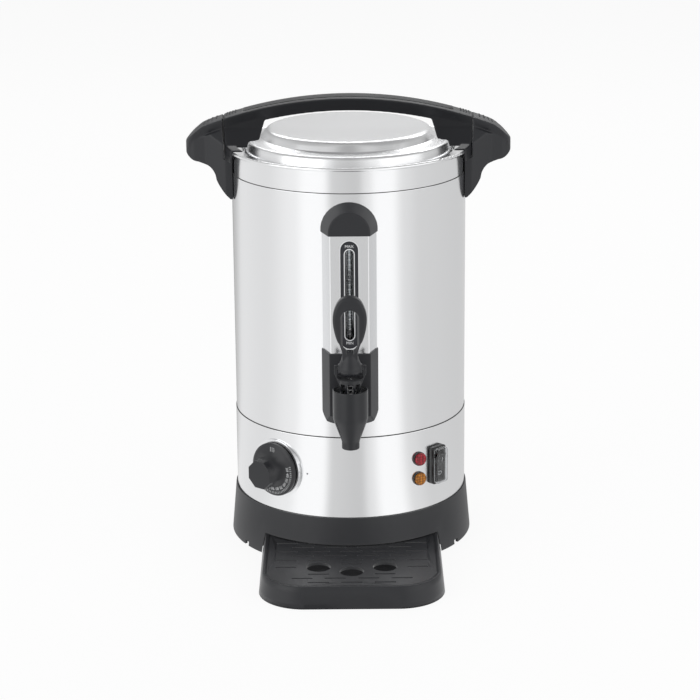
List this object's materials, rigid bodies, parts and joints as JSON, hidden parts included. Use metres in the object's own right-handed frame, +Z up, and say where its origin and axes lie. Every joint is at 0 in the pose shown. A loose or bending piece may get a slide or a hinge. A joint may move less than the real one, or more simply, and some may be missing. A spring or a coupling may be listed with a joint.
{
  "type": "hot water urn",
  "caption": "Upright steel hot water urn with arched lid handle, sight gauge, lever tap, thermostat dial, lit switch panel and slide-in drip tray.",
  "frame": {"origin": "on the bench, on the upright axis of the round body", "axes": "+Z up along the body's axis, the tap faces -Y, +X is to the right of someone facing the tap"},
  "size_m": [0.312, 0.3423, 0.4389],
  "materials": {
    "steel_shell": "polished sheet steel with a fine upright grain",
    "steel_inside": "plain sheet steel, inside faces",
    "steel_bright": "bright rolled steel rim",
    "black_plastic": "satin black heat-resistant moulding",
    "black_gloss": "black moulding, slightly shinier",
    "soft_grip": "soft black grip strip",
    "black_rubber": "black rubber",
    "silicone": "pale food-grade silicone",
    "zinc_steel": "zinc-plated steel fixings",
    "heater_aluminium": "cast aluminium heat spreader",
    "spring_steel": "drawn spring wire",
    "stainless_rod": "turned stainless steel",
    "copper_bulb": "copper capillary bulb",
    "gauge_glass": "clear sight tube",
    "scale_black": "black scale plate with pale outlines",
    "red_lens": "red transparent lens",
    "amber_lens": "amber transparent lens",
    "clear_cover": "clear soft cover",
    "switch_black": "black rocker moulding",
    "thermostat_phenolic": "dark phenolic housing",
    "reset_red": "red button cap",
    "element_sheath": "matt heating element sheath"
  },
  "bodies": {
    "urn": {"base_skirt": "black_plastic", "rubber_feet": "black_rubber", "bottom_cover": "zinc_steel", "cover_screws": "zinc_steel", "tie_rod": "zinc_steel", "tie_nut": "zinc_steel", "cutout_body": "thermostat_phenolic", "lower_housing": "steel_shell", "outer_shell": "steel_shell", "inner_tank": "steel_inside", "rim_ring": "steel_bright", "heater_plate": "heater_aluminium", "heating_element": "element_sheath", "capillary_bulb": "copper_bulb", "knob_bezel": "black_plastic", "thermostat_body": "thermostat_phenolic", "thermostat_screws": "zinc_steel", "red_lamp_body": "switch_black", "red_lamp_lens": "red_lens", "amber_lamp_body": "switch_black", "amber_lamp_lens": "amber_lens", "switch_body": "switch_black", "switch_cover": "clear_cover", "mains_inlet": "switch_black", "inlet_pins": "stainless_rod", "inlet_screws": "zinc_steel", "gauge_cover": "steel_shell", "gauge_label": "scale_black", "sight_tube": "gauge_glass", "tube_seals": "silicone", "gauge_cap": "black_plastic", "column_screws": "zinc_steel", "tap_shroud": "black_plastic", "gauge_elbow": "stainless_rod", "tap_body": "black_gloss", "tap_washer": "silicone", "tap_nut": "stainless_rod", "tap_bonnet": "black_gloss", "lever_pin": "stainless_rod", "tap_spring": "spring_steel", "left_side_handle": "black_plastic", "right_side_handle": "black_plastic", "handle_screws": "stainless_rod", "handle_spacers": "zinc_steel"},
    "lid_seal": {"lid_gasket": "silicone"},
    "lid": {"lid_shell": "steel_shell", "lid_handle": "black_plastic", "grip_inlay": "soft_grip", "lid_screws": "stainless_rod"},
    "lever": {"tap_lever": "black_plastic"},
    "stem": {"tap_stem": "stainless_rod", "seat_cup": "silicone"},
    "knob": {"thermostat_knob": "black_gloss", "thermostat_shaft": "zinc_steel"},
    "rocker": {"switch_rocker": "switch_black"},
    "reset": {"reset_button": "reset_red"},
    "tray": {"drip_tray": "black_plastic", "drip_grate": "black_plastic"}
  },
  "joints": [
    {"name": "lid_lift", "type": "slide", "parent": "urn", "child": "lid_seal", "axis": [0, 0, 1], "range_m": [0, 0.12]},
    {"name": "lid_turn", "type": "hinge", "parent": "lid_seal", "child": "lid", "pos_m": [0, 0, 0.4], "axis": [0, 0, 1], "range_deg": [0, 25]},
    {"name": "lever_tilt", "type": "hinge", "parent": "urn", "child": "lever", "pos_m": [0, -0.157, 0.2115], "axis": [1, 0, 0], "range_deg": [0, 35], "stiffness_Nm_per_rad": 0.12, "springref_deg": -17.19},
    {"name": "stem_lift", "type": "slide", "parent": "urn", "child": "stem", "axis": [0, 0, 1], "range_m": [0, 0.0042], "deforming": ["tap_spring"]},
    {"name": "dial_turn", "type": "hinge", "parent": "urn", "child": "knob", "pos_m": [-0.07237, -0.08937, 0.091], "axis": [-0.6293, -0.7771, 0], "range_deg": [0, 300]},
    {"name": "rocker_tilt", "type": "hinge", "parent": "urn", "child": "rocker", "pos_m": [0.08307, -0.07938, 0.091], "axis": [-0.6909, -0.723, 0], "range_deg": [0, 22]},
    {"name": "reset_push", "type": "slide", "parent": "urn", "child": "reset", "axis": [0, 0, 1], "range_m": [0, 0.002], "stiffness_N_per_m": 300, "springref_m": -0.0005},
    {"name": "tray_slide", "type": "slide", "parent": "urn", "child": "tray", "axis": [0, -1, 0], "range_m": [0, 0.115]}
  ],
  "couplings": [
    {"joint": "stem_lift", "follows": "lever_tilt", "m_per_rad": 0.0065}
  ]
}
